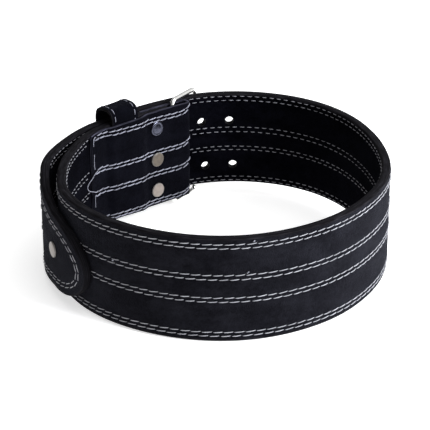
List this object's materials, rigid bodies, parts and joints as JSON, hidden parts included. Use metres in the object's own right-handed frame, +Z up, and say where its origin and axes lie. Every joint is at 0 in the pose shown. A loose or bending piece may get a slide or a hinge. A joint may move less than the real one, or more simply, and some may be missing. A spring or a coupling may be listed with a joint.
{
  "type": "weightlifting belt",
  "caption": "Wide suede leather lifting belt, fastened on its two-prong wire buckle, with a keeper loop, riveted flap and rounded tongue, standing on its lower edge.",
  "frame": {"origin": "centre of the bounding box at the floor, below the middle of the loop", "axes": "+Z up, the strap's width and the loop's axis within three degrees; +Y away from the tongue's side, towards the buckle; +X to the right as the belt is seen from the front"},
  "size_m": [0.3284, 0.358, 0.1284],
  "materials": {
    "black_suede": "brushed black suede with a short nap and pale stitching",
    "bright_steel": "polished, nickel plated",
    "cream_enamel": "glossy cream enamel, worn to grey at the rim"
  },
  "bodies": {
    "root": {"belt_strap": "black_suede", "buckle_wrap": "black_suede", "keeper": "black_suede", "buckle_frame": "bright_steel", "prong_upper": "bright_steel", "prong_lower": "bright_steel", "flap_rivet_upper": "bright_steel", "flap_rivet_middle": "cream_enamel", "flap_rivet_lower": "cream_enamel", "tip_rivet": "cream_enamel"}
  },
  "joints": []
}
